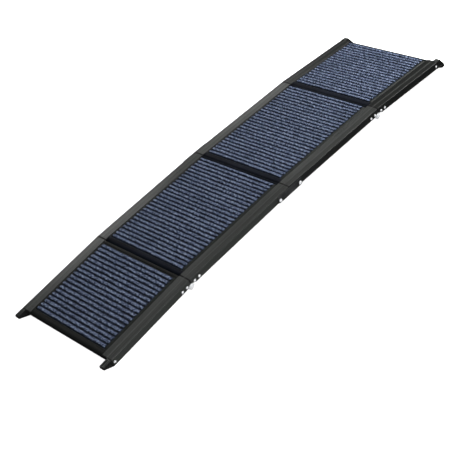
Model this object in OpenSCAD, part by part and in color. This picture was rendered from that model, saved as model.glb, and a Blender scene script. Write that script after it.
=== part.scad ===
// Four-section folding dog ramp: two long middle sections and two shorter end sections.
// X runs along the ramp from its lower end to its upper end, Y across it, Z up.
// The origin is on the floor under the middle of the open ramp.

/* [Deck] */
// Overall width over the side rails
ramp_w = 430; // [380:1:480]
// Length of each middle section
mid_len = 460; // [430:1:520]
// Length of the lower end section
lower_len = 334; // [320:1:360]
// Length of the upper end section
upper_len = 340; // [320:1:360]
// Arch angle between an end section and its middle section
end_bend = 3.6; // [0:0.1:5]
// Arch angle between the two middle sections
mid_bend = 2.4; // [0:0.1:3]

/* [Side rails] */
// Width of a rail's top
rail_w = 40.5; // [38:0.5:46]
// Height of a rail's outer web
rail_h = 27; // [26.5:0.1:27.5]
// Wall thickness of the extrusion
rail_wall = 2; // [1.8:0.1:2.2]
// Drop of the outer facet from the crease to the outer edge
facet_drop = 1.6; // [0.8:0.1:2.4]
// Clear width of the channel under the outer facet
channel_w = 18; // [17.5:0.1:18.5]

/* [Deck panels and carpet] */
// Depth of the panel's top below the rail lip's top
panel_drop = 2.1; // [2.1:0.1:2.4]
// Thickness of the panel's plate
plate_t = 5; // [4:0.1:5]
// Radius of the rounded nose at each panel's lower end
nose_r = 14; // [10:0.5:15]
// Width of the bare strip above the lowest carpet
low_top_strip = 16.5; // [15:0.5:20]
// Width of the bare strip above the other carpets
top_strip = 11; // [10.5:0.5:16]
// Width of the bare nose below the carpet
nose_strip = 19.5; // [17:0.5:24]
// Half width of the carpet
carpet_half_w = 164; // [140:1:166]
// Height of the carpet above the rail lip's top
carpet_rise = 3.7; // [2:0.1:3.8]

/* [Folding hinges] */
// Depth of the end hinges' pivots below the deck
end_pivot_depth = 31.5; // [31.5:0.1:32.5]
// Radius of a hinge leaf's eye
eye_r = 11; // [9:0.5:11]
// Distance between the two pivots of a middle link
link_pitch = 96; // [95:0.5:100]
// Depth of the middle link's pivots below the deck
link_depth = 20.6; // [20.5:0.1:21]

/* [Feet] */
// Angle of the soles, the slope at which the ramp is used
sole_angle = 28; // [24:0.5:30]
// Reach of the lower feet past the rails
lower_reach = 33; // [28:0.5:36]
// Reach of the upper feet past the rails
upper_reach = 47; // [42:0.5:48]

/* [Hidden] */
$fn = 48;

// Colours
rail_black = [0.15, 0.155, 0.155];
panel_navy = [0.11, 0.13, 0.18];
carpet_blue = [0.30, 0.36, 0.48];
rubber_black = [0.07, 0.07, 0.07];
zinc = [0.78, 0.80, 0.82];
plate_black = [0.13, 0.13, 0.13];

// Section lengths and slopes, lower end first
section_len = [lower_len, mid_len, mid_len, upper_len];
slope = [
  mid_bend / 2 + end_bend,
  mid_bend / 2,
  -mid_bend / 2,
  -mid_bend / 2 - end_bend
];

// Clearances
butt_gap = 0.8;
slip = 0.05;
pin_slip = 0.06;
side_slip = 0.15;

// Rail profile, across the ramp
half_w = ramp_w / 2;
web_in = half_w - rail_wall;
wall_out = web_in - channel_w;
wall_in = wall_out - rail_wall;
lip_in = half_w - rail_w;
corner_r = 1.6;
lip_round = 0.5;
groove_w = 0.6;
groove_d = 0.35;
groove_pitch = 6.4;
shelf_w = 12;
shelf_in = wall_in - shelf_w;
relief_h = -14.6;
relief_u = 20.5;
far = 60;
shelf_top = -(panel_drop + plate_t + 0.1);
shelf_t = 1.8;

// Panel
panel_half_w = wall_in - 0.5;
panel_under_half_w = shelf_in - 0.8;
nose_gap = 1.2;
low_nose_gap = -0.8;
head_gap = 3.4;
top_head_gap = 2;
low_head_groove = 4;
head_groove = 1.5;
pocket_slack = 0.5;
head_round = 1.2;
skin_t = 3;
skirt_depth = 18.5;
pocket_d = 1.5;
rib_t = 2.2;
rib_pitch = 52;

// Hinge leaves
leaf_t = 2.4;
leaf_out = web_in - slip;
leaf_mid = leaf_out - leaf_t;
leaf_in = leaf_mid - side_slip - leaf_t;
pad_top = -12.5;
pad_low = -24.5;
pad_start = 12;
joggle_start = 10.6;
rivet_u = [17.5, 38];
rivet_h = -18.5;
rivet_r = 2.6;
rivet_head_r = 4.6;
end_pin_r = 5;
end_pin_head_r = 7.5;
rivet_foot_r = 3.1;
rivet_foot_t = 1.3;
head_rise = 1.9;
pin_head_rise = 2.2;
pin_foot_t = 1.4;

// Middle links
washer_t = 1;
washer_r = 7.5;
link_t = 2.4;
link_end = 8.5;
link_up = 16;
link_down = 8.5;
link_pin_r = 4;
link_head_r = 6;
link_corner_r = 5;

// Feet
heel_h = -28.2;
plug_len = 24;
plug_top = -4.2;
foot_in = wall_out + 1.6;
foot_out = web_in + 0.6;
toe_in = wall_out + 1.8;
toe_out = web_in - 1.8;
foot_top = -1;
tip_h = heel_h + lower_reach * tan(sole_angle);
pad_h = -29.6;
pad_back = 59;
toe_low = -42;
toe_u = 32;
toe_front_h = toe_low + 6;
screw_u = 8;
screw_h = -15.5;
screw_r = 2;
screw_head_r = 4.2;
screw_len = 10;
wrap = 6;
pocket_depth = 5;
pocket_w = 5;

// Cross braces
brace_s = 20;
brace_top = -9.3;
brace_h = 11;
brace_wall = 1.5;
brace_port_r = 3.4;
brace_inset = 75;
brace_room = 0.6;
brace_screw_head_r = 3.8;
brace_screw_len = 16;

// Joints between sections, along the deck's top, in the arch's own frame
function along(a, d) = [d * cos(a), d * sin(a)];
function turned(a, p) = [p[0] * cos(a) - p[1] * sin(a), p[0] * sin(a) + p[1] * cos(a)];
crown = [0, 0];
low_joint = crown - along(slope[1], mid_len);
low_end = low_joint - along(slope[0], lower_len);
high_joint = crown + along(slope[2], mid_len);
high_end = high_joint + along(slope[3], upper_len);

// The arch is levelled so that its lower heels and upper toes share the floor
heel_point = low_end + turned(slope[0], [0, heel_h]);
toe_point = high_end + turned(slope[3], [toe_u, toe_low]);
level = -atan2(toe_point[1] - heel_point[1], toe_point[0] - heel_point[0]);
tilt = [for (a = slope) a + level];
start = [for (p = [low_end, low_joint, crown, high_joint]) turned(level, p)];
floor_z = turned(level, heel_point)[1];
x_low = start[0][0] + turned(tilt[0], [-lower_reach, foot_top - 2.5])[0];
x_high = turned(level, high_end)[0] + turned(tilt[3], [upper_reach, toe_front_h])[0];
x_mid = (x_low + x_high) / 2;

// Places children, drawn in a section's own frame, where that section lies
module on_section(i) {
  translate([start[i][0] - x_mid, 0, start[i][1] - floor_z])
    rotate([0, -tilt[i], 0])
      children();
}

// Places children at the crown joint, level with its bisecting plane
module at_crown() {
  translate([-x_mid, 0, -floor_z])
    rotate([0, -level, 0])
      children();
}

// Draws children, made for the left side, on the right side instead
module on_side(right) {
  if (right) {
    mirror([0, 1, 0]) children();
  } else {
    children();
  }
}

// Stands children, drawn in X and Z, between two distances across the ramp
module across(y_from, y_to) {
  translate([0, y_to, 0])
    rotate([90, 0, 0])
      linear_extrude(height = y_to - y_from)
        children();
}

// A round bar across the ramp at (x, z)
module bar(x, z, r, y_from, y_to) {
  translate([x, y_from, z])
    rotate([-90, 0, 0])
      cylinder(r = r, h = y_to - y_from);
}

// Outline of half a shallow dome with a short straight rim
function dome_outline(r, rise, steps) = concat(
  [[0, 0], [r, 0]],
  [for (i = [0:steps]) [r * cos(90 * i / steps), rise * (0.3 + 0.7 * sin(90 * i / steps))]]
);

// A shallow dome standing out from y, away from the ramp's middle
module dome(x, z, r, rise, y) {
  translate([x, y, z])
    rotate([-90, 0, 0])
      rotate_extrude()
        polygon(dome_outline(r, rise, 6));
}

// Side rails ------------------------------------------------------------

// Arc of points round a centre, from one angle to another
function arc(c, r, from, to, steps) = [
  for (i = [0:steps]) let (a = from + (to - from) * i / steps) c + r * [cos(a), sin(a)]
];

// Cross-section of the left rail: X is the distance across the ramp, Y the height
module rail_profile() {
  outer_top = -facet_drop;
  crease = wall_out - 0.3;
  difference() {
    // Lip over the panel, sloping outer facet with a rounded corner, outer web, channel, and the shelf
    polygon(concat(
      [[lip_in, -rail_wall], [lip_in, -lip_round], [lip_in + lip_round, 0], [crease, 0]],
      arc([half_w - corner_r, outer_top - corner_r], corner_r, 85, 0, 5),
      [[half_w, -rail_h], [web_in, -rail_h], [web_in, outer_top - rail_wall]],
      [[wall_out, -rail_wall], [wall_out, -rail_h], [wall_in, -rail_h]],
      [[wall_in, shelf_top - shelf_t], [shelf_in, shelf_top - shelf_t], [shelf_in, shelf_top]],
      [[wall_in, shelf_top], [wall_in, -rail_wall]]
    ));
    // Fine grooves along the top
    for (y = [lip_in + groove_pitch, lip_in + 2 * groove_pitch]) {
      translate([y, -groove_d]) square([groove_w, 1]);
    }
    translate([crease - 0.3, -groove_d]) square([groove_w, 1]);
    for (y = [crease + groove_pitch, crease + 2 * groove_pitch]) {
      translate([y, -groove_d - facet_drop * (y - crease) / (half_w - crease)]) square([groove_w, 2]);
    }
    // Fine grooves along the web
    for (z = [-rail_h + 4, -rail_h + 16]) {
      translate([half_w - groove_d, z]) square([1, groove_w]);
    }
  }
}

// Everything beyond a mitred end at the section's lower end
module below_mitre(bend) {
  rotate([0, -bend / 2, 0])
    translate([butt_gap / 2 - far, -ramp_w, -2 * far])
      cube([far, 2 * ramp_w, 4 * far]);
}

// Slanting cut-away of a rail's lower corner round an end hinge, at the section's lower end
module hinge_relief() {
  across(wall_in - 20, half_w + 10)
    polygon([[-5, relief_h], [relief_u, -rail_h], [relief_u, -far], [-5, -far]]);
}

// Slight relief under a middle link's pivot, so that the corner clears as it swings
module link_relief() {
  across(wall_in - 20, half_w + 10)
    polygon([[-5, -link_depth], [butt_gap / 2, -link_depth], [1.1, -rail_h - 1], [-5, -rail_h - 1]]);
}

// Places children, drawn for a section's lower end, at its upper end
module at_head(i) {
  translate([section_len[i], 0, 0]) mirror([1, 0, 0]) children();
}

module rail(i) {
  color(rail_black)
    difference() {
      rotate([90, 0, 90])
        linear_extrude(height = section_len[i])
          rail_profile();
      rail_end_cuts(i);
      rail_holes(i);
    }
}

// Mitres and corner reliefs of a section's rails
module rail_end_cuts(i) {
  if (i == 0) {
    at_head(i) below_mitre(end_bend);
    at_head(i) hinge_relief();
  }
  if (i == 1) {
    below_mitre(end_bend);
    hinge_relief();
    at_head(i) below_mitre(mid_bend);
    at_head(i) link_relief();
  }
  if (i == 2) {
    below_mitre(mid_bend);
    link_relief();
    at_head(i) below_mitre(end_bend);
    at_head(i) hinge_relief();
  }
  if (i == 3) {
    below_mitre(end_bend);
    hinge_relief();
  }
}

// Position of a hinge pivot in a half-section's frame, measured from the joint
function pivot(bend, depth) = [depth * sin(bend / 2), -depth * cos(bend / 2)];

// Position of a link pivot in a middle section's frame, measured from the joint
function link_pivot() = turned(mid_bend / 2, [link_pitch / 2, -link_depth]);

module web_hole(x, z, r) {
  bar(x, z, r, web_in - 1, half_w + 1);
}

// Bores for rivets, screws and pivots in a rail
module rail_holes(i) {
  if (i == 0) {
    at_head(i) hinge_holes();
    web_hole(screw_u, screw_h, screw_r + slip);
  }
  if (i == 1) {
    hinge_holes();
    at_head(i) web_hole(link_pivot()[0], link_pivot()[1], link_pin_r + pin_slip);
  }
  if (i == 2) {
    web_hole(link_pivot()[0], link_pivot()[1], link_pin_r + pin_slip);
    at_head(i) hinge_holes();
  }
  if (i == 3) {
    hinge_holes();
    web_hole(section_len[i] - screw_u, screw_h, screw_r + slip);
  }
  for (x = brace_places(i)) {
    bar(x, brace_top - brace_h / 2, screw_r + slip, wall_in - 1, wall_out + 1);
  }
}

module hinge_holes() {
  for (u = rivet_u) {
    web_hole(u, rivet_h, rivet_r + slip);
  }
}

// Deck panels -----------------------------------------------------------

// Centres of a section's two cross braces
function brace_places(i) = [brace_inset, section_len[i] - brace_inset];

// Where a panel's nose begins and where its plate ends, along its section
function nose_start(i) = i == 0 ? low_nose_gap : nose_gap;
function panel_head(i) = section_len[i] - (i == 3 ? top_head_gap : head_gap);

// Where a carpet ends, and how wide the groove above it is
function carpet_head(i) = section_len[i] - (i == 0 ? low_top_strip : top_strip);
function groove_above(i) = i == 0 ? low_head_groove : head_groove;

// Side view of the plate, with its rounded nose
module plate_side(i) {
  head = panel_head(i);
  nose = nose_start(i);
  polygon(concat(
    [[head - head_round, -panel_drop], [head, -panel_drop - head_round], [head, -panel_drop - plate_t]],
    [[nose + 4, -panel_drop - plate_t]],
    arc([nose + nose_r, -panel_drop - nose_r], nose_r, 138, 90, 6)
  ));
}

// Side view of the skirts that close the panel's two ends
module skirt_side(i) {
  head = panel_head(i);
  nose = nose_start(i);
  nose_c = [nose + nose_r, -panel_drop - nose_r];
  polygon(concat(
    arc(nose_c, nose_r, 90, 180, 9),
    [[nose, -skirt_depth], [nose + skin_t, -skirt_depth]],
    arc(nose_c, nose_r - skin_t, 180, 90, 9)
  ));
  translate([head - skin_t, -skirt_depth]) square([skin_t, skirt_depth - panel_drop - 1]);
}

module deck_panel(i) {
  pocket_start = nose_strip - pocket_slack;
  pocket_len = carpet_head(i) + groove_above(i) - pocket_start;
  color(panel_navy)
    difference() {
      union() {
        across(-panel_half_w, panel_half_w) plate_side(i);
        across(-panel_under_half_w, panel_under_half_w) skirt_side(i);
        deck_ribs(i);
      }
      // Pocket for the carpet, and the groove above it
      translate([pocket_start, -carpet_half_w - pocket_slack, -panel_drop - pocket_d])
        cube([pocket_len, 2 * (carpet_half_w + pocket_slack), 10]);
      // Room for the cross braces
      for (x = brace_places(i)) {
        translate([x - brace_s / 2 - brace_room, -panel_half_w - 1, -far])
          cube([brace_s + 2 * brace_room, 2 * panel_half_w + 2, far + brace_top + 0.2]);
      }
    }
}

// Lengthwise ribs and side walls under the plate
module deck_ribs(i) {
  first = nose_start(i) + nose_r;
  last = panel_head(i) - skin_t;
  rib_h = skirt_depth - panel_drop - plate_t + 0.1;
  count = floor(panel_under_half_w / rib_pitch);
  for (k = [-count:count]) {
    translate([first, k * rib_pitch - rib_t / 2, -skirt_depth]) cube([last - first + 0.1, rib_t, rib_h]);
  }
  for (side = [-1, 1]) {
    translate([nose_start(i) + skin_t, side * (panel_under_half_w - rib_t / 2) - rib_t / 2, -skirt_depth])
      cube([last - nose_start(i) - skin_t + 0.1, rib_t, rib_h]);
  }
  translate([section_len[i] / 2 - rib_t / 2, -panel_under_half_w, -skirt_depth])
    cube([rib_t, 2 * panel_under_half_w, rib_h]);
}

module carpet(i) {
  color(carpet_blue)
    translate([nose_strip, -carpet_half_w, -panel_drop - pocket_d])
      cube([
        carpet_head(i) - nose_strip,
        2 * carpet_half_w,
        panel_drop + pocket_d + carpet_rise
      ]);
}

// Feet ------------------------------------------------------------------

// Tongue that plugs into a rail's channel, drawn at a section's lower end
module foot_plug() {
  difference() {
    across(wall_out + 0.2, web_in - slip)
      polygon([
        [-0.5, plug_top], [plug_len, plug_top], [plug_len, -rail_h + 3],
        [plug_len - 3, -rail_h], [-0.5, -rail_h]
      ]);
    bar(screw_u, screw_h, screw_r, web_in - 12, web_in + 1);
  }
}

// Pockets moulded into a foot's outer face, with ribs left between them: [start, bottom, height] of each
module foot_pockets(places) {
  for (p = places) {
    across(foot_out - pocket_depth, foot_out + 1)
      translate([p[0], p[1]]) square([pocket_w, p[2]]);
  }
}

// Grooves along the top of a foot
module top_grooves(from, to) {
  for (y = [foot_in + 4, foot_in + 8.5, foot_in + 13]) {
    translate([from, y, foot_top - 1.1]) cube([to - from, 1.3, 3]);
  }
}

module foot_lower() {
  color(rubber_black)
    union() {
      difference() {
        across(foot_in, foot_out)
          polygon([
            [-0.2, foot_top - 0.6], [-4, foot_top], [-lower_reach + 2.5, foot_top],
            [-lower_reach, foot_top - 2.5], [-lower_reach, tip_h], [0, heel_h],
            [wrap, heel_h], [wrap, -rail_h - 0.1], [-0.2, -rail_h - 0.1]
          ]);
        top_grooves(-lower_reach - 1, -4);
        foot_pockets([
          [-7.5, -22.5, 18], [-15, -18, 13.5], [-22.5, -14, 9.5]
        ]);
      }
      foot_plug();
    }
}

// Drawn at a section's lower end, and turned to its upper end where it is used
module foot_upper() {
  sole_run = (pad_h - toe_low) / tan(sole_angle);
  color(rubber_black)
    union() {
      difference() {
        union() {
          across(foot_in, foot_out)
            polygon([
              [-0.2, foot_top], [-18, foot_top], [-upper_reach + 3, toe_front_h + 3.4],
              [-toe_u, pad_h], [-0.2, pad_h]
            ]);
          across(toe_in, toe_out)
            polygon([
              [-20, -6], [-upper_reach, toe_front_h], [-upper_reach + 3, toe_low + 1.8],
              [-toe_u, toe_low], [-toe_u + sole_run, pad_h], [-toe_u + sole_run, -20]
            ]);
        }
        top_grooves(-20, -3);
        foot_pockets([
          [-7.5, -25, 20], [-15, -25, 20], [-22.5, -27, 18], [-30, -28, 11]
        ]);
      }
      // Sill pad under the rail
      across(toe_in, toe_out)
        polygon([
          [-0.3, -rail_h - 0.1], [pad_back - 2, -rail_h - 0.1], [pad_back, pad_h + 1],
          [pad_back - 1, pad_h], [-0.3, pad_h]
        ]);
      foot_plug();
    }
}

// Screws that hold a pair of feet, at a section's lower end
module foot_screws() {
  color(zinc)
    for (right = [false, true]) {
      on_side(right) {
        dome(screw_u, screw_h, screw_head_r, head_rise, half_w + slip);
        bar(screw_u, screw_h, screw_r, web_in - screw_len, half_w + 0.2);
      }
    }
}

// End hinges ------------------------------------------------------------

// Eye of a leaf round the pivot, with the arm that rises from it
module leaf_eye() {
  p = pivot(end_bend, end_pivot_depth);
  inside = eye_r - 0.3;
  translate(p) circle(r = eye_r);
  polygon([
    p + inside * [cos(120), sin(120)], [pad_start, pad_top - 0.2], [pad_start + 0.4, pad_low + 0.2],
    p + inside * [cos(15), sin(15)]
  ]);
}

// Pad of a leaf against the rail's web
module leaf_pad(from) {
  end_u = rivet_u[1];
  translate([from, pad_low]) square([end_u - from, pad_top - pad_low]);
  translate([end_u, (pad_top + pad_low) / 2]) circle(r = (pad_top - pad_low) / 2);
}

// Bores of a leaf for its pin and its rivets
module leaf_bores(pin_bore) {
  p = pivot(end_bend, end_pivot_depth);
  bar(p[0], p[1], pin_bore, leaf_in - 1, leaf_out + 1);
  for (u = rivet_u) {
    bar(u, rivet_h, rivet_r + slip, leaf_in - 1, leaf_out + 1);
  }
}

// Flat leaf whose eye lies against the web
module flat_leaf() {
  color(zinc)
    difference() {
      union() {
        across(leaf_mid, leaf_out) leaf_eye();
        across(leaf_mid, leaf_out) leaf_pad(pad_start - 0.5);
      }
      leaf_bores(end_pin_r);
    }
}

// Leaf stepped inwards, whose eye lies beside the flat leaf's eye
module stepped_leaf() {
  color(zinc)
    difference() {
      union() {
        across(leaf_in, leaf_mid - side_slip) leaf_eye();
        across(leaf_in, leaf_out)
          translate([joggle_start, pad_low]) square([pad_start + 1 - joggle_start, pad_top - pad_low]);
        across(leaf_mid, leaf_out) leaf_pad(pad_start);
      }
      leaf_bores(end_pin_r + pin_slip);
    }
}

// Headed pins through a pair of end hinges, in a middle section's frame
module hinge_pins() {
  p = pivot(end_bend, end_pivot_depth);
  color(zinc)
    for (right = [false, true]) {
      on_side(right) {
        bar(p[0], p[1], end_pin_r, leaf_in - side_slip, leaf_out + slip);
        dome(p[0], p[1], end_pin_head_r, pin_head_rise, leaf_out + slip);
        bar(p[0], p[1], end_pin_head_r - 0.5, leaf_in - side_slip - pin_foot_t, leaf_in - side_slip);
      }
    }
}

// Rivets of one section's two hinge leaves
module hinge_rivets() {
  color(zinc)
    for (right = [false, true]) {
      on_side(right) {
        for (u = rivet_u) {
          dome(u, rivet_h, rivet_head_r, head_rise, half_w);
          bar(u, rivet_h, rivet_r, leaf_mid - 0.2, half_w + 0.1);
          bar(u, rivet_h, rivet_foot_r, leaf_mid - rivet_foot_t, leaf_mid);
        }
      }
    }
}

// Middle links ----------------------------------------------------------

module link_outline() {
  reach = link_pitch / 2 + link_end;
  top = -link_depth + link_up;
  low = -link_depth - link_down;
  r = link_corner_r;
  difference() {
    union() {
      translate([-reach, low + r]) square([2 * reach, top - low - 2 * r]);
      translate([-reach + r, low]) square([2 * (reach - r), top - low]);
      for (x = [-reach + r, reach - r]) {
        for (z = [low + r, top - r]) {
          translate([x, z]) circle(r = r);
        }
      }
    }
    for (x = [-1, 1]) {
      translate([x * link_pitch / 2, -link_depth]) circle(r = link_pin_r);
    }
  }
}

module link_plate() {
  color(plate_black)
    across(half_w + washer_t, half_w + washer_t + link_t)
      link_outline();
}

// Places children at each of the four link pivots
module at_link_pivots() {
  for (right = [false, true]) {
    on_side(right) {
      for (x = [-1, 1]) {
        translate([x * link_pitch / 2, 0, -link_depth]) children();
      }
    }
  }
}

module link_rivets() {
  color(zinc)
    at_link_pivots() {
      bar(0, 0, link_pin_r, web_in - 0.5, half_w + washer_t + link_t);
      dome(0, 0, link_head_r, pin_head_rise, half_w + washer_t + link_t);
      bar(0, 0, link_head_r, web_in - 0.3 - pin_foot_t, web_in - 0.3);
    }
}

module link_washers() {
  color(rubber_black)
    at_link_pivots()
      difference() {
        bar(0, 0, washer_r, half_w + 0.1, half_w + washer_t);
        bar(0, 0, link_pin_r, half_w, half_w + washer_t + 1);
      }
}

// Cross braces ----------------------------------------------------------

module brace(x) {
  inner = brace_s - 2 * brace_wall;
  color(rail_black)
    translate([x, 0, brace_top - brace_h / 2])
      rotate([90, 0, 0])
        translate([0, 0, -wall_in])
          linear_extrude(height = 2 * wall_in)
            difference() {
              square([brace_s, brace_h], center = true);
              difference() {
                square([inner, brace_h - 2 * brace_wall], center = true);
                circle(r = brace_port_r);
                square([inner + 1, 1.6], center = true);
              }
              circle(r = screw_r);
            }
}

module brace_screws(i) {
  z = brace_top - brace_h / 2;
  color(zinc)
    for (right = [false, true]) {
      on_side(right) {
        for (x = brace_places(i)) {
          bar(x, z, screw_r, wall_out - brace_screw_len, wall_out + 0.1);
          dome(x, z, brace_screw_head_r, head_rise, wall_out);
        }
      }
    }
}

// Nodes -----------------------------------------------------------------

on_section(0) rail(0);  // rail_left_1
on_section(0) on_side(true) rail(0);  // rail_right_1
on_section(1) rail(1);  // rail_left_2
on_section(1) on_side(true) rail(1);  // rail_right_2
on_section(2) rail(2);  // rail_left_3
on_section(2) on_side(true) rail(2);  // rail_right_3
on_section(3) rail(3);  // rail_left_4
on_section(3) on_side(true) rail(3);  // rail_right_4

on_section(0) deck_panel(0);  // deck_panel_1
on_section(1) deck_panel(1);  // deck_panel_2
on_section(2) deck_panel(2);  // deck_panel_3
on_section(3) deck_panel(3);  // deck_panel_4

on_section(0) carpet(0);  // carpet_1
on_section(1) carpet(1);  // carpet_2
on_section(2) carpet(2);  // carpet_3
on_section(3) carpet(3);  // carpet_4

on_section(0) foot_lower();  // foot_lower_left
on_section(0) on_side(true) foot_lower();  // foot_lower_right
on_section(3) at_head(3) foot_upper();  // foot_upper_left
on_section(3) at_head(3) on_side(true) foot_upper();  // foot_upper_right
on_section(0) foot_screws();  // foot_screws_lower
on_section(3) at_head(3) foot_screws();  // foot_screws_upper

on_section(0) at_head(0) stepped_leaf();  // hinge_leaf_left_1
on_section(0) at_head(0) on_side(true) stepped_leaf();  // hinge_leaf_right_1
on_section(1) flat_leaf();  // hinge_leaf_left_2
on_section(1) on_side(true) flat_leaf();  // hinge_leaf_right_2
on_section(2) at_head(2) flat_leaf();  // hinge_leaf_left_3
on_section(2) at_head(2) on_side(true) flat_leaf();  // hinge_leaf_right_3
on_section(3) stepped_leaf();  // hinge_leaf_left_4
on_section(3) on_side(true) stepped_leaf();  // hinge_leaf_right_4
on_section(1) hinge_pins();  // hinge_pins_lower
on_section(2) at_head(2) hinge_pins();  // hinge_pins_upper
on_section(0) at_head(0) hinge_rivets();  // hinge_rivets_1
on_section(1) hinge_rivets();  // hinge_rivets_2
on_section(2) at_head(2) hinge_rivets();  // hinge_rivets_3
on_section(3) hinge_rivets();  // hinge_rivets_4

at_crown() link_plate();  // link_plate_left
at_crown() on_side(true) link_plate();  // link_plate_right
at_crown() link_rivets();
at_crown() link_washers();

on_section(0) brace(brace_places(0)[0]);  // cross_brace_low_1
on_section(0) brace(brace_places(0)[1]);  // cross_brace_high_1
on_section(1) brace(brace_places(1)[0]);  // cross_brace_low_2
on_section(1) brace(brace_places(1)[1]);  // cross_brace_high_2
on_section(2) brace(brace_places(2)[0]);  // cross_brace_low_3
on_section(2) brace(brace_places(2)[1]);  // cross_brace_high_3
on_section(3) brace(brace_places(3)[0]);  // cross_brace_low_4
on_section(3) brace(brace_places(3)[1]);  // cross_brace_high_4
on_section(0) brace_screws(0);  // brace_screws_1
on_section(1) brace_screws(1);  // brace_screws_2
on_section(2) brace_screws(2);  // brace_screws_3
on_section(3) brace_screws(3);  // brace_screws_4
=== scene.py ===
"""Looks of the folding dog ramp: carpeted sections between black rails, with zinc hinges and rubber feet."""

import math

import bmesh
import bpy
import numpy as np
from mathutils import Matrix, Vector


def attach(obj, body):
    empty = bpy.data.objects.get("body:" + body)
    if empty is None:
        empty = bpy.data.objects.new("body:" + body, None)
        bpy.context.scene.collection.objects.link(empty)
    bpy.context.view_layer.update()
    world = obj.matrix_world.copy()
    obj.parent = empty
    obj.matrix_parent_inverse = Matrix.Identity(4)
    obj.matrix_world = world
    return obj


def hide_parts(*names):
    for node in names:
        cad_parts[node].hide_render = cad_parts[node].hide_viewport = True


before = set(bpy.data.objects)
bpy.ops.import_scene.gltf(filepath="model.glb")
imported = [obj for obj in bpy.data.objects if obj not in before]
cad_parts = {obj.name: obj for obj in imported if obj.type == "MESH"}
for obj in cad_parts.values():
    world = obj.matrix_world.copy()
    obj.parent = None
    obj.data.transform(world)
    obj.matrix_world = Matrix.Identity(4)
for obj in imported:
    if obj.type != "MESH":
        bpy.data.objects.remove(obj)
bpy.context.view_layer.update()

MM = 0.001
SECTIONS = (1, 2, 3, 4)

# Camera, round the point of the deck that it looks at, and how far it sees
VIEW_POINT = Vector((-0.2525, -0.185, 0.071))
VIEW_AZIMUTH = math.radians(-35.43)
VIEW_ELEVATION = math.radians(37.90)
VIEW_ROLL = math.radians(17.97)
VIEW_DISTANCE = 3.2
VIEW_REACH = 50
LENS = 82.57

# Softboxes: where each one is, what it points at, its width and height, and its watts
SOFTBOXES = {
    "overhead": ((0.3, 0.2, 3.2), (0, 0, 0), (2.6, 1.8), 8),
    "key": ((1.95, -0.75, 1.35), (0.6, 0, 0), (1.0, 0.8), 62),
    "sheen": ((1.87, 2.14, 1.34), (0.15, 0, 0.05), (1.0, 0.45), 5),
    "backlight": ((0.10, 1.62, 1.05), (-0.6, 0.15, 0.05), (0.9, 0.5), 4.4),
    "front": ((-0.6, -2.7, 0.9), (0, -0.2, 0), (1.6, 0.8), 58),
}

# Light from around: how strong it is at each height, from straight below (-1) to straight above (1)
WORLD_LIGHT = (
    (-1.0, 0.25), (-0.64, 0.25), (-0.57, 0.02), (0.10, 0.02), (0.45, 0.20), (0.75, 0.34), (1.0, 0.34),
)

# Floor and backdrop: the light that they give off, how far they reach, and how high the backdrop stands
FLOOR_GLOW = 0.9
STAGE_REACH = 30
STAGE_WALL = 20

# Lines along the rails' tops, by their distance from the ramp's middle, and ribs of the feet
RAIL_GROOVE_FROM = 180.9 * MM
RAIL_GROOVE_PITCH = 6.6 * MM
FOOT_RIB_PITCH = 6.8 * MM

# Marks in the tone of rails and feet: painted shade in the grooves and at the rail ends, and a painted
# highlight along each rail's crease. Each is full out to the first distance, and gone at the second
RAIL_GROOVE_FADE = (0.4 * MM, 1.9 * MM)
RAIL_CREASE_HIGHLIGHT_FADE = (0.3 * MM, 1.6 * MM)
RAIL_END_SHADE_FADE = (1.12 * MM, 2.8 * MM)
FOOT_GROOVE_FADE = (0.9 * MM, 2.2 * MM)

# Where a mark is put that a node doesn't have: farther out than any node reaches
FAR = 10.0

# Points this close to the highest one belong to a rail's level top
LEVEL_WITHIN = 0.1 * MM

# Ribs of the carpet, and how much of a groove stray yarn fills
RIB_PITCH = 15.4 * MM
GROOVE_DEPTH = 3.8 * MM
GROOVE_HALF_WIDTH = 3.2 * MM
CROWN_RISE = 0.35 * MM
STRAY_FILL = 0.25
STRAY_CELL = 5.5 * MM
STRAY_SEED = 5

# Waves in the ribs: seed, how far, and how long
RIB_WAVES = ((1, 0.5 * MM, 26 * MM), (2, 0.45 * MM, 9 * MM))

# Tufts of the yarn, which lies slantwise: seed, height, size, and how much narrower they are across
YARN_TURN = math.radians(32)
TUFTS = ((3, 0.42 * MM, 5.0 * MM, 1.8), (4, 0.30 * MM, 2.6 * MM, 1.6))

# Pile: its usual and its highest level over the CAD carpet's top, the drop and width of its worn edge, the
# space underneath it, and the steps of its mesh
PILE_LEVEL = -0.35 * MM
PILE_LIMIT = 0.4 * MM
EDGE_DROP = 1.6 * MM
EDGE_WIDTH = 1.3 * MM
PILE_BASE_GAP = 0.3 * MM
ROW_STEP = 1.25 * MM
COLUMN_STEP = 2.0 * MM

# Moulded panel tops: nose, side bezels, and the bar at the head with its lines
NOSE_RADIUS = 14 * MM
NOSE_TURN = math.radians(84)
NOSE_BEAD = 2.2 * MM
NOSE_BEAD_RISE = 0.8 * MM
POCKET_GAP = 0.5 * MM
LIP_GAP = 0.6 * MM
SKIN_BASE = 0.3 * MM
SKIN_FOOT = 0.04 * MM
BEZEL_RISE = 2.2 * MM
BEZEL_FLAT = 3.5 * MM
BEZEL_SLOPE = 4.5 * MM
HEAD_GROOVES = (4 * MM, 1.5 * MM, 1.5 * MM, 1.5 * MM)
BAR_RISE = 1.8 * MM
BAR_LINES = (-0.34, 0.0, 0.34)
LINE_DEPTH = 0.5 * MM
LINE_SHARE = 0.07

# Their mesh: rows round the nose, rows along the nose's top, the bezels and the bar, columns across, where an
# edge counts as sharp, and how close is the same place
NOSE_ROWS = 15
FLAT_ROWS = (8, 59, 40)
MARGIN_COLUMNS = 13
INNER_COLUMNS = 41
SHARP_TURN = math.radians(50)
TOLERANCE = 1e-6


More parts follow.
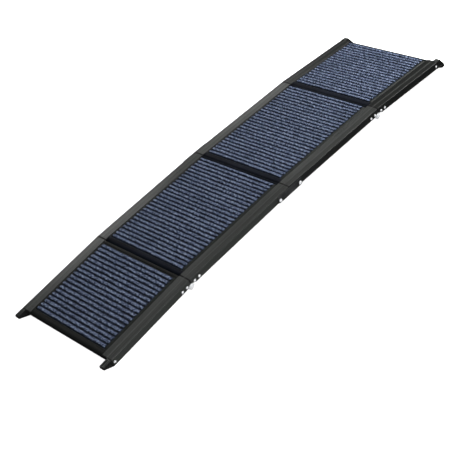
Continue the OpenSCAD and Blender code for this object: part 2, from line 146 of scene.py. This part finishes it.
def srgb(red, green, blue):
    """Linear colour of an 8-bit sRGB one."""
    shares = [c / 255 for c in (red, green, blue)]
    return tuple(s / 12.92 if s <= 0.04045 else ((s + 0.055) / 1.055) ** 2.4 for s in shares) + (1.0,)


def grey(value):
    """A linear grey."""
    return (value, value, value, 1.0)


def fill_ramp(ramp, stops):
    """Gives a colour ramp its stops, each a position and a colour."""
    while len(ramp.elements) < len(stops):
        ramp.elements.new(1.0)
    for element, (position, colour) in zip(ramp.elements, stops):
        element.position = position
        element.color = colour


# Rails, section by section: tones of the top, of its lines and of the webs, and how glossy they are. The
# rails share one powder coat. The differences between sections are painted light and shade: the webs are
# lighter on sections 1 and 2 and near black on 3 and 4, and the top is darker on section 4
RAIL_COATS_WITH_PAINTED_LIGHT = (
    dict(top=srgb(52, 54, 52), deep=srgb(28, 29, 28), side=srgb(46, 48, 46), gloss=0.42),
    dict(top=srgb(46, 48, 46), deep=srgb(24, 25, 24), side=srgb(44, 46, 44), gloss=0.42),
    dict(top=srgb(48, 50, 48), deep=srgb(25, 26, 25), side=srgb(14, 15, 14), gloss=0.44),
    dict(top=srgb(18, 20, 18), deep=srgb(10, 11, 10), side=srgb(14, 15, 14), gloss=0.30),
)


# Materials -------------------------------------------------------------------


class Shader:
    """A material with one Principled shader, and short ways to add the nodes that feed it."""

    def __init__(self, name, **values):
        self.material = bpy.data.materials.new(name)
        self.material.use_nodes = True
        self.nodes = self.material.node_tree.nodes
        self.links = self.material.node_tree.links
        self.shader = self.nodes["Principled BSDF"]
        for socket, value in values.items():
            self.shader.inputs[socket.replace("_", " ")].default_value = value

    def add(self, kind, settings=None, **inputs):
        """A node with its settings and inputs, which are named, or i0, i1 and so on by number."""
        node = self.nodes.new(kind)
        for key, value in (settings or {}).items():
            setattr(node, key, value)
        for key, value in inputs.items():
            by_number = key[0] == "i" and key[1:].isdigit()
            self.feed(node.inputs[int(key[1:]) if by_number else key], value)
        return node

    def feed(self, socket, value):
        """Links a value that is a socket, and sets any other."""
        if isinstance(value, bpy.types.NodeSocket):
            self.links.new(value, socket)
        else:
            socket.default_value = value

    def set(self, socket, value):
        self.feed(self.shader.inputs[socket], value)

    def place(self, turn=(0, 0, 0), stretch=(1, 1, 1)):
        """The point on the piece, in its own axes, turned and then stretched."""
        own = self.add("ShaderNodeTexCoord").outputs["Object"]
        turned = self.add("ShaderNodeMapping", {"vector_type": "POINT"}, Vector=own, Rotation=turn)
        scaling = {"operation": "MULTIPLY"}
        return self.add("ShaderNodeVectorMath", scaling, i0=turned.outputs[0], i1=stretch).outputs[0]

    def part(self, vector, axis):
        """One of a vector's three numbers."""
        return self.add("ShaderNodeSeparateXYZ", Vector=vector).outputs[axis]

    def facing(self, axis):
        """How far the surface faces along one of the piece's own axes."""
        return self.part(self.add("ShaderNodeTexCoord").outputs["Normal"], axis)

    def noise(self, at, scale, detail=3.0, roughness=0.55):
        node = self.add("ShaderNodeTexNoise", Vector=at, Scale=scale, Detail=detail, Roughness=roughness)
        return node.outputs[0]

    def math(self, operation, *values, clamp=False):
        inputs = {f"i{k}": value for k, value in enumerate(values)}
        return self.add("ShaderNodeMath", {"operation": operation, "use_clamp": clamp}, **inputs).outputs[0]

    def total(self, *terms):
        """Sum of values, each times its weight."""
        result = 0.0
        for value, weight in terms:
            result = self.math("MULTIPLY_ADD", value, weight, result)
        return result

    def spread(self, value, low, high, to_low=0.0, to_high=1.0):
        """value taken from low to high, clamped, and given as to_low to to_high."""
        limits = dict(i1=low, i2=high, i3=to_low, i4=to_high)
        return self.add("ShaderNodeMapRange", {"clamp": True}, i0=value, **limits).outputs[0]

    def mark(self, distance, fade):
        """1 out to the fade's first distance, and 0 from its second."""
        return self.spread(distance, *fade, 1.0, 0.0)

    def ramp(self, value, stops):
        node = self.add("ShaderNodeValToRGB", Fac=value)
        fill_ramp(node.color_ramp, stops)
        return node.outputs[0]

    def mix(self, share, first, second):
        """first, with a share of second in it."""
        node = self.add("ShaderNodeMix", {"data_type": "RGBA"})
        for socket, value in ((0, share), (6, first), (7, second)):
            self.feed(node.inputs[socket], value)
        return node.outputs[2]

    def bump(self, height, distance, strength=1.0):
        node = self.add("ShaderNodeBump", Height=height, Distance=distance, Strength=strength)
        self.set("Normal", node.outputs[0])


def carpet_material():
    """Needle-punched yarn: pale and dark strands laid slantwise, with painted shade that makes it nearly
    black down in the grooves.
    """
    s = Shader("carpet_yarn", Specular_IOR_Level=0.1, Sheen_Weight=0.15, Sheen_Roughness=0.5)
    s.set("Sheen Tint", srgb(150, 165, 195))
    strands = s.place(turn=(0, 0, YARN_TURN), stretch=(1.0, 1.9, 1.0))
    plain = s.place()
    flecks = s.spread(s.noise(strands, scale=190, detail=1.0, roughness=0.4), 0.30, 0.70)
    fibres = s.noise(strands, scale=620, roughness=0.6)
    patches = s.math("SUBTRACT", s.noise(plain, scale=9, detail=2.0), 0.5)
    # painted shade: the yarn is darker the deeper it lies in a groove
    groove_shade = s.spread(s.part(plain, "Z"), -0.70 * GROOVE_DEPTH, -0.10 * GROOVE_DEPTH, 1.0, 0.0)
    tone = s.total((flecks, 0.56), (fibres, 0.46), (patches, 0.10), (groove_shade, -0.38))
    s.set("Base Color", s.ramp(tone, [
        (0.22, srgb(13, 16, 22)),
        (0.38, srgb(40, 47, 62)),
        (0.50, srgb(76, 87, 112)),
        (0.60, srgb(112, 126, 156)),
        (0.72, srgb(170, 184, 214)),
    ]))
    s.set("Roughness", s.spread(fibres, 0.3, 0.7, 0.82, 1.0))
    s.bump(s.total((flecks, 1.0), (fibres, 0.6)), 2.0 * MM)
    return s.material


def rail_material(name, tilt, ends, crease, top, deep, side, gloss):
    """Satin powder coat on an extrusion that slopes by tilt, with lines along it.

    It has painted shade at its ends, where it meets the next rail or a foot, and a painted highlight along
    its crease. ends are given along the slope, and crease by its distance from the ramp's middle. top, deep
    and side are the tones of the top, its lines and the webs; the side tone is painted light or shade on the
    webs, and the grooves are painted darker as shade in them.
    """
    s = Shader(name, Metallic=0.0, Specular_IOR_Level=gloss)
    slope = (0, tilt, 0)
    along = s.place(turn=slope, stretch=(0.012, 1.0, 1.0))
    plain = s.place(turn=slope)
    lines = s.noise(along, scale=260, roughness=0.7)
    bands = s.noise(along, scale=90, detail=2.0)
    grain = s.noise(plain, scale=2600, detail=2.0)
    cloud = s.noise(plain, scale=6, detail=2.0)
    scratches = s.noise(s.place(turn=slope, stretch=(0.15, 1, 1)), scale=900, detail=2.0)

    climb, across = s.part(plain, "X"), s.math("ABSOLUTE", s.part(plain, "Y"))
    to_ends = [s.math("SUBTRACT", climb, ends[0]), s.math("SUBTRACT", ends[1], climb)]
    end_shade = s.mark(s.math("MINIMUM", *to_ends), RAIL_END_SHADE_FADE)
    crease_highlight = s.mark(s.math("ABSOLUTE", s.math("SUBTRACT", across, crease)), RAIL_CREASE_HIGHLIGHT_FADE)
    from_groove = s.math("PINGPONG", s.math("SUBTRACT", across, RAIL_GROOVE_FROM), RAIL_GROOVE_PITCH / 2)
    groove = s.mark(from_groove, RAIL_GROOVE_FADE)

    # painted shade: the grooves along the top are darker
    tone = s.total((lines, 0.45), (bands, 0.40), (cloud, 0.15), (groove, -0.18))
    # the webs get their own tone, which is painted light or shade for this section
    colour = s.mix(s.math("ABSOLUTE", s.facing("Y")), s.ramp(tone, [(0.30, deep), (0.56, top)]), side)
    # painted shade: near black at the rail's ends, in the joints to the next rail or a foot
    colour = s.mix(end_shade, colour, srgb(5, 5, 5))
    # painted highlight: a lighter line along the crease of the rail's top
    highlight_share = s.math("MULTIPLY", crease_highlight, s.spread(bands, 0.3, 0.7, 0.15, 0.6))
    colour = s.mix(highlight_share, colour, srgb(112, 115, 112))
    s.set("Base Color", s.mix(s.spread(scratches, 0.70, 0.78, 0.0, 0.25), colour, srgb(110, 113, 112)))
    dull = s.total((s.spread(lines, 0.3, 0.7, 0.26, 0.40), 1.0), (groove, 0.08))
    s.set("Roughness", s.math("ADD", dull, end_shade, clamp=True))
    s.bump(s.total((grain, 1.0), (lines, 0.8)), 0.12 * MM, 0.35)
    return s.material


def moulded_material(name, colour, dark, roughness=0.5, gloss=0.2):
    """Moulded plastic with a fine spark-eroded grain and faint flow marks."""
    s = Shader(name, Specular_IOR_Level=gloss)
    grain = s.noise(s.place(), scale=1500, detail=2.0, roughness=0.6)
    flow = s.noise(s.place(stretch=(1, 0.15, 1)), scale=40)
    s.set("Base Color", s.ramp(s.total((flow, 0.7), (grain, 0.3)), [(0.36, dark), (0.64, colour)]))
    s.set("Roughness", s.spread(grain, 0.3, 0.7, roughness - 0.08, roughness + 0.1))
    s.bump(grain, 0.15 * MM, 0.4)
    return s.material


def rubber_material():
    """Matt rubber with fine ribs that run along the ramp, painted shade in their grooves, and a lighter,
    mottled painted top light on what faces up.
    """
    s = Shader("foot_rubber", Specular_IOR_Level=0.32)
    plain = s.place()
    grain = s.noise(plain, scale=900, roughness=0.65)
    top_mottle = s.noise(plain, scale=60, detail=4.0, roughness=0.6)
    from_groove = s.math("PINGPONG", s.math("ABSOLUTE", s.part(plain, "Y")), FOOT_RIB_PITCH / 2)
    groove = s.mark(from_groove, FOOT_GROOVE_FADE)
    top_light = s.ramp(top_mottle, [(0.36, srgb(50, 52, 50)), (0.68, srgb(92, 95, 92))])
    # painted light: faces that point up are lighter and mottled, the rest near black
    colour = s.mix(s.spread(s.facing("Z"), 0.2, 0.8), srgb(20, 21, 20), top_light)
    # painted shade: the rib grooves go near black
    s.set("Base Color", s.mix(groove, colour, srgb(5, 5, 5)))
    s.set("Roughness", s.total((s.spread(grain, 0.3, 0.7, 0.45, 0.65), 1.0), (groove, 0.3)))
    s.bump(s.total((grain, 0.3), (groove, -1.0)), 0.9 * MM, 0.7)
    return s.material


def zinc_material():
    """Bright zinc plate with faint crystals and scratches; its near-white, mostly matt base is painted
    reflection that stands in for the plate's shine.
    """
    s = Shader("bright_zinc", Metallic=0.15)
    plain = s.place()
    crystals = s.add("ShaderNodeTexVoronoi", Vector=plain, Scale=260.0).outputs["Distance"]
    cloud = s.noise(plain, scale=120, detail=4.0)
    scratches = s.noise(s.place(stretch=(0.06, 1, 1)), scale=1500, detail=2.0)
    tone = s.total((crystals, 0.35), (cloud, 0.65))
    # painted reflection: a near-white base in place of the zinc's bright shine
    s.set("Base Color", s.ramp(tone, [(0.25, srgb(214, 219, 226)), (0.60, srgb(250, 251, 252))]))
    s.set("Roughness", s.spread(cloud, 0.3, 0.7, 0.18, 0.34))
    s.bump(scratches, 0.05 * MM, 0.3)
    return s.material


def plate_material():
    """Black coated steel with fine handling marks."""
    s = Shader("coated_steel", Specular_IOR_Level=0.6)
    cloud = s.noise(s.place(), scale=30, detail=4.0)
    slanted = s.place(turn=(0, math.radians(24), 0), stretch=(0.05, 1, 1))
    marks = s.noise(slanted, scale=1100, detail=2.0)
    colour = s.ramp(cloud, [(0.35, srgb(24, 25, 26)), (0.65, srgb(44, 45, 46))])
    s.set("Base Color", s.mix(s.spread(marks, 0.66, 0.74, 0.0, 0.4), colour, srgb(112, 114, 116)))
    s.set("Roughness", s.spread(cloud, 0.3, 0.7, 0.28, 0.42))
    s.bump(marks, 0.05 * MM, 0.3)
    return s.material


# Sections --------------------------------------------------------------------


def corner_points(node):
    """Corners of a CAD node in the frame's axes, each one once."""
    return np.unique(np.array([v.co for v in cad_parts[node].data.vertices]).round(6), axis=0)


class Section:
    """One deck section's own axes: X up the ramp from the carpet's lower edge, Z out of the carpet's top.

    bar_start is the X where the bar at the panel's head starts, and tilt is how far X slopes.
    """

    def __init__(self, number):
        self.number = number
        self.body = f"section_{number}"
        corners = corner_points(f"carpet_{number}")
        centre = corners.mean(0)
        _, _, axes = np.linalg.svd((corners - centre)[:, (0, 2)])
        along = Vector((abs(axes[0][0]), 0, axes[0][1] * math.copysign(1, axes[0][0])))
        across = Vector((0, 1, 0))
        out = along.cross(across)
        self.tilt = math.atan2(along.z, along.x)
        own = (corners - centre) @ np.array([along, across, out]).T
        low, high = own.min(0), own.max(0)
        self.length, self.width, self.thickness = high - low
        self.bar_start = self.length + HEAD_GROOVES[number - 1]
        origin = Vector(centre) + along * low[0] + out * high[2]
        self.matrix = Matrix.Translation(origin) @ Matrix((along, across, out)).transposed().to_4x4()

    def points(self, node):
        """Corners of a CAD node in this section's axes."""
        inverse = self.matrix.inverted()
        return np.array([inverse @ v.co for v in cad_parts[node].data.vertices])

    def extent(self, node):
        """Lowest and highest corner of a CAD node in this section's axes."""
        points = self.points(node)
        return Vector(points.min(0)), Vector(points.max(0))

    def ends(self, node):
        """How far along the slope the node starts and stops, from the frame's origin."""
        climb = corner_points(node) @ np.array([math.cos(self.tilt), 0.0, math.sin(self.tilt)])
        return climb.min(), climb.max()

    def crease(self, rail):
        """How far from the ramp's middle the rail's level top ends."""
        points = self.points(rail)
        level = points[points[:, 2] > points[:, 2].max() - LEVEL_WITHIN]
        return np.abs(level[:, 1]).max()


def new_piece(name, points, faces, material, smooth=True):
    """A mesh object in the scene."""
    mesh = bpy.data.meshes.new(name)
    mesh.from_pydata([tuple(p) for p in points], [], [tuple(f) for f in faces])
    mesh.validate()
    mesh.materials.append(material)
    mesh.polygons.foreach_set("use_smooth", [smooth] * len(mesh.polygons))
    mesh.update()
    piece = bpy.data.objects.new(name, mesh)
    bpy.context.scene.collection.objects.link(piece)
    return piece


# Carpets ---------------------------------------------------------------------


def ease(share):
    """From 0 to 1 with a level start and end."""
    return share * share * (3 - 2 * share)


def smooth_noise(x, y, cell, seed):
    """Value noise from -1 to 1 over a plane, with features about one cell across."""
    u, v = np.asarray(x) / cell, np.asarray(y) / cell
    u, v = u - u.min(), v - v.min()
    lattice = np.random.default_rng(seed).uniform(-1, 1, (int(u.max()) + 3, int(v.max()) + 3))
    i, j = u.astype(int), v.astype(int)
    fu, fv = ease(u - i), ease(v - j)
    low = lattice[i, j] * (1 - fu) + lattice[i + 1, j] * fu
    high = lattice[i, j + 1] * (1 - fu) + lattice[i + 1, j + 1] * fu
    return low * (1 - fv) + high * fv


def carpet_height(x, y, section):
    """Height of the pile: rounded ribs across the ramp, a little wavy and tufted, with narrow grooves."""
    seed = 100 * section.number
    pitch = section.length / round(section.length / RIB_PITCH)
    wander = sum(far * smooth_noise(x, y, cell, seed + n) for n, far, cell in RIB_WAVES)
    phase = (x + wander) / pitch
    from_groove = np.abs(phase - np.round(phase)) * pitch
    stray = 0.5 + 0.5 * smooth_noise(x, y, STRAY_CELL, seed + STRAY_SEED)
    rib = 1 - np.exp(-((from_groove / GROOVE_HALF_WIDTH) ** 2)) * (1 - STRAY_FILL * stray ** 2)
    crown = CROWN_RISE * (1 - np.cos(2 * math.pi * phase)) / 2
    with_yarn = x * math.cos(YARN_TURN) - y * math.sin(YARN_TURN)
    over_yarn = x * math.sin(YARN_TURN) + y * math.cos(YARN_TURN)
    tufts = sum(
        rise * smooth_noise(with_yarn, over_yarn * squeeze, cell, seed + n)
        for n, rise, cell, squeeze in TUFTS
    )
    height = -GROOVE_DEPTH * (1 - rib) + PILE_LEVEL + crown + tufts * (0.35 + 0.65 * rib)
    from_edge = np.minimum(np.minimum(x, section.length - x), section.width / 2 - np.abs(y))
    return np.minimum(height - EDGE_DROP * np.exp(-from_edge / EDGE_WIDTH), PILE_LIMIT)


def make_carpet(section, material):
    """The ribbed pile of one section, closed with straight sides and a flat base."""
    rows = round(section.length / ROW_STEP) + 1
    columns = round(section.width / COLUMN_STEP) + 1
    x, y = np.meshgrid(
        np.linspace(0, section.length, rows),
        np.linspace(-section.width / 2, section.width / 2, columns),
        indexing="ij",
    )
    top = np.stack([x, y, carpet_height(x, y, section)], -1).reshape(-1, 3)
    index = np.arange(rows * columns).reshape(rows, columns)
    quads = np.stack([index[:-1, :-1], index[1:, :-1], index[1:, 1:], index[:-1, 1:]], -1)
    rim = np.concatenate([index[:, 0], index[-1, 1:], index[-2::-1, -1], index[0, -2:0:-1]])
    under = top[rim].copy()
    under[:, 2] = PILE_BASE_GAP - section.thickness
    base = np.arange(len(top), len(top) + len(rim))
    sides = np.stack([rim, base, np.roll(base, -1), np.roll(rim, -1)], -1)
    faces = [*quads.reshape(-1, 4).tolist(), *sides.tolist(), base[::-1].tolist()]
    piece = new_piece(f"ribbed_carpet_{section.number}", np.concatenate([top, under]), faces, material)
    piece.matrix_world = section.matrix
    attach(piece, section.body)
    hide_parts(f"carpet_{section.number}")


# Moulded panel tops ----------------------------------------------------------


def closed_between(top, under, quads):
    """Points and faces of the solid between two matching sets of points, closed at the quads' open edges."""
    count = len(top)
    faces = [tuple(q) for q in quads] + [tuple(count + k for k in reversed(q)) for q in quads]
    edges = {(q[k], q[(k + 1) % 4]) for q in quads for k in range(4)}
    faces += [(b, a, count + a, count + b) for a, b in sorted(edges) if (b, a) not in edges]
    return np.concatenate([top, under]), faces


def ridge(distance, half_width, rise):
    """Height of a rounded ridge at a distance from its middle."""
    share = np.clip(np.abs(distance) / half_width, 0, 1)
    return rise * np.sqrt(np.clip(1 - share ** 3, 0, 1))


def panel_top_height(along, across, section, head):
    """How far the moulded surface stands off the plain panel: side bezels, lined head bar and nose bead."""
    beside = (along > -POCKET_GAP) & (along < head)
    past_flat = np.abs(across) - section.width / 2 - POCKET_GAP - BEZEL_FLAT
    bezel = BEZEL_RISE * (1 - ease(np.clip(past_flat / BEZEL_SLOPE, 0, 1)))
    height = SKIN_BASE + np.where(beside, bezel, 0)
    middle, half = (section.bar_start + head) / 2, (head - section.bar_start) / 2
    bar = ridge(along - middle, half, BAR_RISE)
    for line in BAR_LINES:
        bar = bar - LINE_DEPTH * np.exp(-(((along - middle) / half - line) / LINE_SHARE) ** 2)
    height = np.where(along >= section.bar_start - TOLERANCE, SKIN_BASE + np.maximum(bar, 0), height)
    bead = SKIN_BASE + ridge(along + POCKET_GAP + NOSE_BEAD, NOSE_BEAD, NOSE_BEAD_RISE)
    return np.where(along < TOLERANCE - POCKET_GAP, bead, height)


def panel_rows(section, low, high):
    """The rows of a panel top, from the nose to the head: each one's X and Z, and its way out."""
    centre_x, centre_z = low.x + NOSE_RADIUS, high.z - NOSE_RADIUS
    outward = [(math.sin(a), math.cos(a)) for a in np.linspace(NOSE_TURN, 0, NOSE_ROWS)]
    nose = [
        (centre_x - NOSE_RADIUS * lean, centre_z + NOSE_RADIUS * rise, lean, rise)
        for lean, rise in outward
    ]
    stops = (centre_x, -POCKET_GAP, section.bar_start, high.x)
    flats = [np.linspace(a, b, count + 1)[1:] for a, b, count in zip(stops, stops[1:], FLAT_ROWS)]
    return nose + [(x, high.z, 0.0, 1.0) for x in np.concatenate(flats)]


def panel_columns(section, half_width):
    """Y of the columns of a panel top: close together in the margins, and even between them."""
    margin = np.linspace(section.width / 2 + POCKET_GAP, half_width, MARGIN_COLUMNS)
    inner = np.linspace(-margin[0], margin[0], INNER_COLUMNS)
    return np.concatenate([-margin[::-1], inner[1:-1], margin])


def make_panel_top(section, nose_material, margin_material):
    """The visible top of a deck panel: nose, side margins and head bar, as one frame round the carpet."""
    low, high = section.extent(f"deck_panel_{section.number}")
    rail_low, _ = section.extent(f"rail_left_{section.number}")
    rows = panel_rows(section, low, high)
    columns = panel_columns(section, rail_low.y - LIP_GAP)
    x, z, lean, rise = (np.array(v)[:, None] * np.ones(len(columns)) for v in zip(*rows))
    y = np.ones((len(rows), 1)) * columns
    height = panel_top_height(x, y, section, high.x)
    top = np.stack([x - lean * height, y, z + rise * height], -1).reshape(-1, 3)
    under = np.stack([x - lean * SKIN_FOOT, y, z + rise * SKIN_FOOT], -1).reshape(-1, 3)
    quads, slots = [], []
    for i in range(len(rows) - 1):
        beside_carpet = -POCKET_GAP - TOLERANCE < rows[i][0] < section.bar_start - TOLERANCE
        for j in range(len(columns) - 1):
            over_carpet = abs(columns[j] + columns[j + 1]) / 2 < section.width / 2 + POCKET_GAP
            if beside_carpet and over_carpet:
                continue
            a = i * len(columns) + j
            quads.append((a, a + len(columns), a + len(columns) + 1, a + 1))
            slots.append(int(beside_carpet))
    points, faces = closed_between(top, under, quads)
    piece = new_piece(f"panel_frame_{section.number}", points, faces, nose_material)
    piece.data.materials.append(margin_material)
    for face, slot in zip(piece.data.polygons, slots):
        face.material_index = slot
    drop_loose_and_mark_sharp(piece, SHARP_TURN)
    piece.matrix_world = section.matrix
    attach(piece, section.body)


def drop_loose_and_mark_sharp(piece, angle):
    """Deletes points that no face uses, and keeps edges that turn by more than the angle crisp."""
    mesh = bmesh.new()
    mesh.from_mesh(piece.data)
    loose = [v for v in mesh.verts if not v.link_faces]
    bmesh.ops.delete(mesh, geom=loose, context="VERTS")
    for edge in mesh.edges:
        edge.smooth = len(edge.link_faces) == 2 and edge.calc_face_angle() < angle
    mesh.to_mesh(piece.data)
    mesh.free()


# Camera, lights and stage ----------------------------------------------------


def make_camera():
    """The photo's view."""
    back = Vector((
        math.sin(VIEW_AZIMUTH) * math.cos(VIEW_ELEVATION),
        -math.cos(VIEW_AZIMUTH) * math.cos(VIEW_ELEVATION),
        math.sin(VIEW_ELEVATION),
    ))
    data = bpy.data.cameras.new("camera")
    data.lens = LENS
    data.clip_end = VIEW_REACH
    camera = bpy.data.objects.new("camera", data)
    camera.rotation_mode = "QUATERNION"
    camera.location = VIEW_POINT + back * VIEW_DISTANCE
    level = (-back).to_track_quat("-Z", "Y")
    camera.rotation_quaternion = level @ Matrix.Rotation(-VIEW_ROLL, 3, "Z").to_quaternion()
    bpy.context.scene.collection.objects.link(camera)
    bpy.context.scene.camera = camera


def make_softbox(name, place, aim, size, watts):
    """A rectangular light that points at a place."""
    data = bpy.data.lights.new(name, "AREA")
    data.shape = "RECTANGLE"
    data.size, data.size_y = size
    data.energy = watts
    light = bpy.data.objects.new(name, data)
    light.location = place
    light.rotation_mode = "QUATERNION"
    light.rotation_quaternion = (Vector(aim) - Vector(place)).to_track_quat("-Z", "Y")
    bpy.context.scene.collection.objects.link(light)


def make_world():
    """Light from around that changes with height only."""
    world = bpy.data.worlds.new("studio")
    world.use_nodes = True
    nodes, links = world.node_tree.nodes, world.node_tree.links
    height = nodes.new("ShaderNodeSeparateXYZ")
    links.new(nodes.new("ShaderNodeTexCoord").outputs["Generated"], height.inputs[0])
    share = nodes.new("ShaderNodeMapRange")
    share.inputs["From Min"].default_value = -1.0
    links.new(height.outputs["Z"], share.inputs["Value"])
    sky = nodes.new("ShaderNodeValToRGB")
    links.new(share.outputs[0], sky.inputs[0])
    fill_ramp(sky.color_ramp, [((z + 1) / 2, grey(light)) for z, light in WORLD_LIGHT])
    links.new(sky.outputs[0], nodes["Background"].inputs["Color"])
    bpy.context.scene.world = world


def make_stage(name, points, faces, blocks_light):
    """A plain white surface with a light of its own, so that shadows on it stay faint."""
    s = Shader(name, Roughness=1.0, Specular_IOR_Level=0.0, Emission_Strength=FLOOR_GLOW)
    cloud = s.noise(s.place(), scale=2, detail=2.0)
    s.set("Base Color", s.ramp(cloud, [(0.3, srgb(248, 248, 248)), (0.7, srgb(250, 250, 250))]))
    s.set("Emission Color", grey(1.0))
    stage = new_piece(name, points, faces, s.material, smooth=False)
    stage.visible_diffuse = False
    stage.visible_glossy = False
    stage.visible_shadow = blocks_light


def make_floor_and_backdrop():
    """A floor where the ramp stands, and four walls far off that let the light through."""
    reach = STAGE_REACH
    corners = [(-reach, -reach), (reach, -reach), (reach, reach), (-reach, reach)]
    low, high = ([(x, y, z) for x, y in corners] for z in (0, STAGE_WALL))
    walls = [(k, k + 4, (k + 1) % 4 + 4, (k + 1) % 4) for k in range(4)]
    make_stage("floor", low, [(0, 1, 2, 3)], blocks_light=True)
    make_stage("backdrop", low + high, walls, blocks_light=False)


# Dressing --------------------------------------------------------------------


def named(*starts):
    """CAD nodes whose names start so."""
    return [n for n in sorted(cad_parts) if n.startswith(starts)]


def dress(nodes, material):
    """Gives CAD nodes a finished material."""
    for name in nodes:
        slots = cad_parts[name].data.materials
        slots.clear()
        slots.append(material)


def dress_rails(section):
    """Gives a section's two rails the section's own coat, whose tones hold painted light and shade for that
    section.
    """
    rails = [f"rail_left_{section.number}", f"rail_right_{section.number}"]
    ends, crease = section.ends(rails[0]), section.crease(rails[0])
    name, coat = f"shaded_rail_coat_{section.number}", RAIL_COATS_WITH_PAINTED_LIGHT[section.number - 1]
    dress(rails, rail_material(name, section.tilt, ends, crease, **coat))


make_camera()
make_world()
for light, settings in SOFTBOXES.items():
    make_softbox(light, *settings)
make_floor_and_backdrop()
bpy.context.scene.view_settings.view_transform = "Standard"

yarn = carpet_material()
navy_plastic = moulded_material("navy_plastic", srgb(19, 24, 35), srgb(10, 13, 20), 0.46, gloss=0.12)
black_plastic = moulded_material("black_plastic", srgb(33, 35, 33), srgb(21, 22, 21))
margin_plastic = moulded_material("margin_plastic", srgb(30, 33, 30), srgb(22, 24, 22), gloss=0.13)
for section in [Section(number) for number in SECTIONS]:
    make_carpet(section, yarn)
    nose_plastic = black_plastic if section.number == SECTIONS[0] else navy_plastic
    make_panel_top(section, nose_plastic, margin_plastic)
    dress_rails(section)
dress(named("deck_panel"), black_plastic)
dress(named("cross_brace"), rail_material("brace_coat", 0.0, (-FAR, FAR), FAR, **RAIL_COATS_WITH_PAINTED_LIGHT[0]))
dress(named("foot_lower", "foot_upper"), rubber_material())
dress(named("hinge", "link_rivets", "foot_screws", "brace_screws"), zinc_material())
dress(named("link_plate"), plate_material())
dress(named("link_washers"), moulded_material("washer_nylon", srgb(38, 38, 38), srgb(24, 24, 24)))
